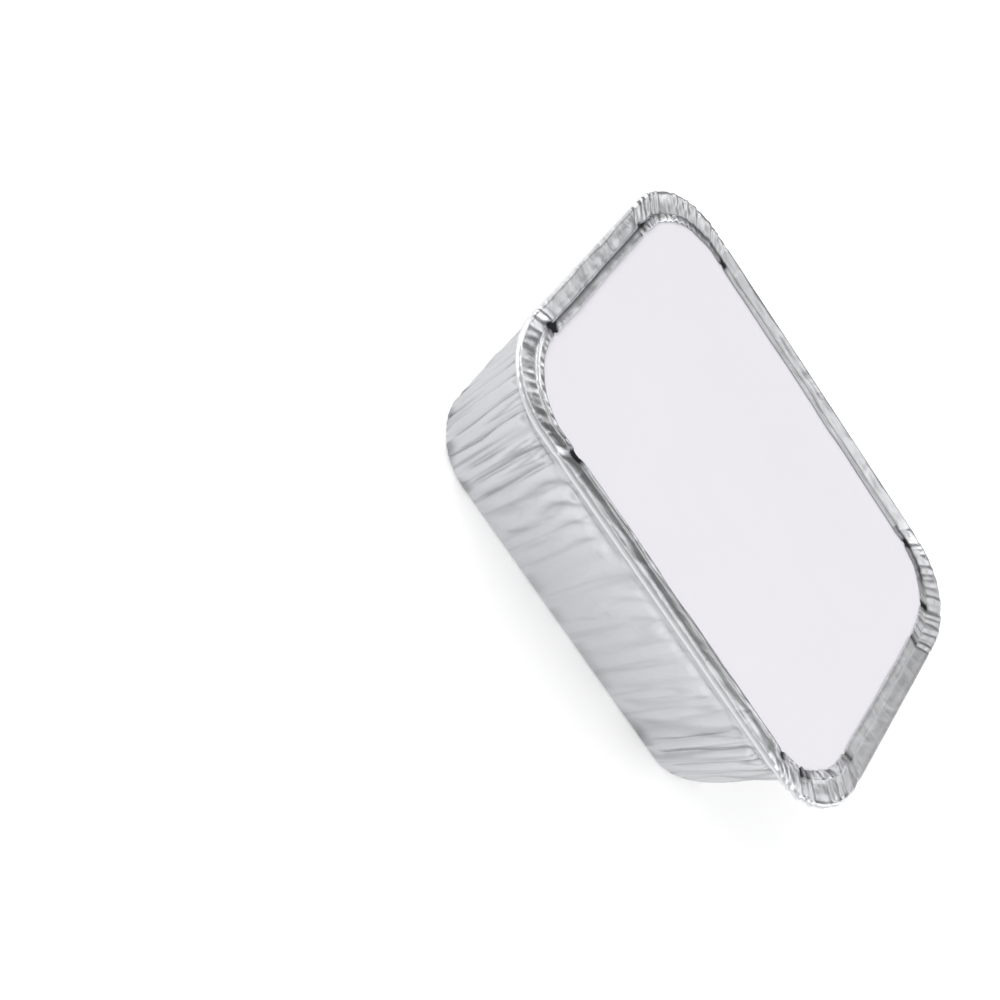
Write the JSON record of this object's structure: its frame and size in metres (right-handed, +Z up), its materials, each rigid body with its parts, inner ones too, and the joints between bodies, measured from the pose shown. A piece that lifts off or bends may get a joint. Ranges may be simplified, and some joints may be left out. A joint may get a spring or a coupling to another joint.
{
  "type": "foil food container",
  "caption": "Oblong pressed foil food container with pleated walls, closed by a flat board lid held under its folded and corner-gathered rim.",
  "frame": {"origin": "middle of the base, on the surface the container stands on", "axes": "+X along the long sides, +Y across, +Z up towards the lid"},
  "size_m": [0.1806, 0.1306, 0.0533],
  "materials": {
    "foil": "bright crinkled foil",
    "board": "matt white coated board"
  },
  "bodies": {
    "root": {"tray": "foil", "lid": "board"}
  },
  "joints": []
}
